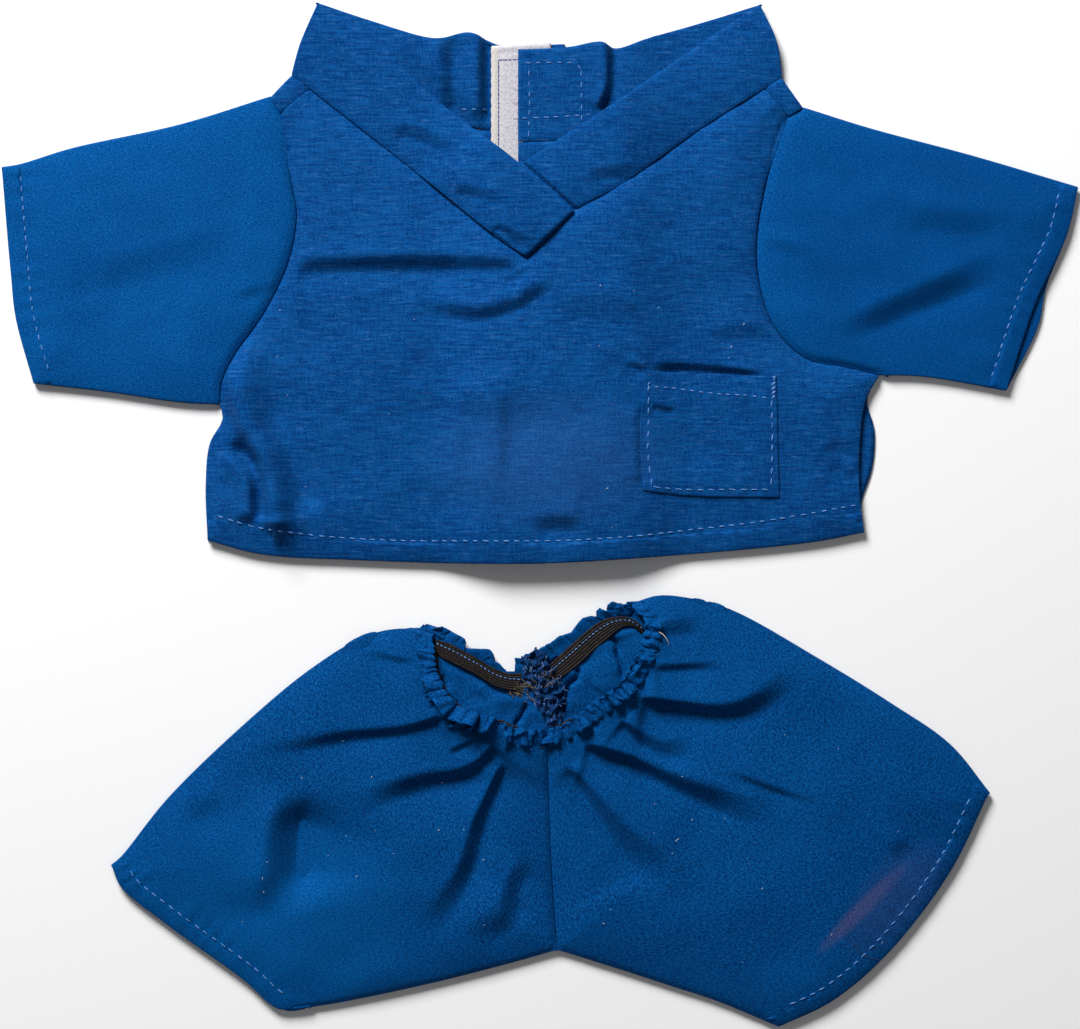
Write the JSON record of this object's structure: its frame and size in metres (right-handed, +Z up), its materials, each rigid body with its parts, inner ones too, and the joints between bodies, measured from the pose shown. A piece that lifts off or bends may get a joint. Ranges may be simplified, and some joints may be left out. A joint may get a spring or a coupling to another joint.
{
  "type": "doll's medical scrubs set, V-neck top and elastic-waist shorts",
  "caption": "Doll's scrubs laid out flat: a V-neck top with short sleeves, a chest pocket and a tape closure down its back, over wide gathered shorts.",
  "frame": {"origin": "middle of the underside of the whole set, on the surface that it lies on", "axes": "+Z up out of the cloth, +Y towards the neck of the top, +X to the viewer's right"},
  "size_m": [0.3594, 0.342, 0.0095],
  "materials": {
    "body_cloth": "plain-woven blue poly-cotton with fine cross slubs and a slight sheen",
    "sleeve_cloth": "the same cloth, a little brighter blue",
    "shorts_cloth": "the same cloth, a little deeper blue, matt",
    "tape": "fuzzy off-white loop and hook tape",
    "elastic": "braided brown-black elastic"
  },
  "bodies": {
    "root": {"top_front": "body_cloth", "top_back_left": "body_cloth", "top_back_right": "body_cloth", "neckband_front_left": "body_cloth", "neckband_front_right": "body_cloth", "neckband_back_left": "body_cloth", "neckband_back_right": "body_cloth", "chest_pocket": "body_cloth", "sleeve_left": "sleeve_cloth", "sleeve_right": "sleeve_cloth", "loop_tape": "tape", "hook_tape": "tape", "leg_left": "shorts_cloth", "leg_right": "shorts_cloth", "centre_back_seam_allowance": "shorts_cloth", "waist_elastic_front_left": "elastic", "waist_elastic_front_right": "elastic", "waist_elastic_back_left": "elastic", "waist_elastic_back_right": "elastic"}
  },
  "joints": []
}
